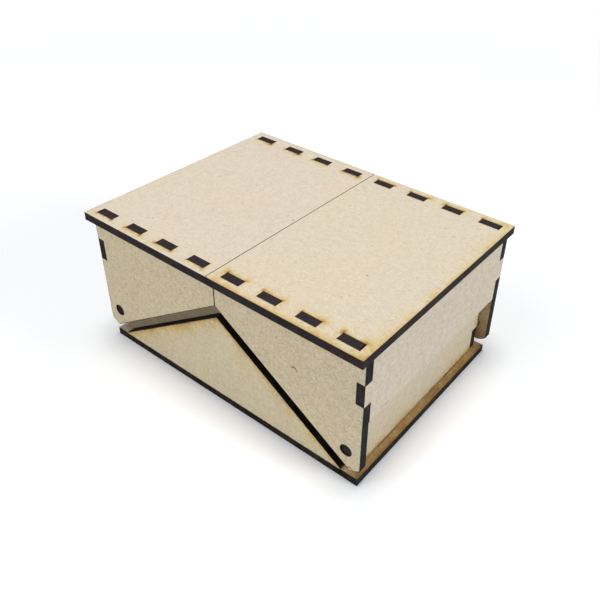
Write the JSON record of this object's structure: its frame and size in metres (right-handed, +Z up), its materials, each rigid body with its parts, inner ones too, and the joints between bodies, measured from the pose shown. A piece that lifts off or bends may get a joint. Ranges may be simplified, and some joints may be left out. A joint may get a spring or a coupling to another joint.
{
  "type": "storage box",
  "caption": "Small wooden box for papers and keepsakes: a finger-jointed tray whose lid is two wings that swing outwards on pegs at the lower corners.",
  "frame": {"origin": "middle of the base plate's underside", "axes": "+X to the right of someone facing the front, along the lid's length; +Y towards the rear; +Z up"},
  "size_m": [0.12, 0.09, 0.056],
  "materials": {
    "base_board": "matt, scorched",
    "tray_board": "matt",
    "gable_board": "matt",
    "lid_board": "matt",
    "panel_board": "matt"
  },
  "bodies": {
    "tray": {"base_plate": "base_board", "front_tray_wall": "tray_board", "rear_tray_wall": "tray_board", "left_end_wall": "tray_board", "right_end_wall": "tray_board", "front_gable": "gable_board", "rear_gable": "gable_board"},
    "left_wing": {"left_wing_top_plate": "lid_board", "left_wing_front_panel": "panel_board", "left_wing_rear_panel": "panel_board", "left_wing_side_panel": "panel_board"},
    "right_wing": {"right_wing_top_plate": "lid_board", "right_wing_front_panel": "panel_board", "right_wing_rear_panel": "panel_board", "right_wing_side_panel": "panel_board"}
  },
  "joints": [
    {"name": "left_wing_hinge", "type": "hinge", "parent": "tray", "child": "left_wing", "pos_m": [-0.0537, 0, 0.0142], "axis": [0, -1, 0], "range_deg": [0, 100]},
    {"name": "right_wing_hinge", "type": "hinge", "parent": "tray", "child": "right_wing", "pos_m": [0.0537, 0, 0.0142], "axis": [0, 1, 0], "range_deg": [0, 100]}
  ]
}
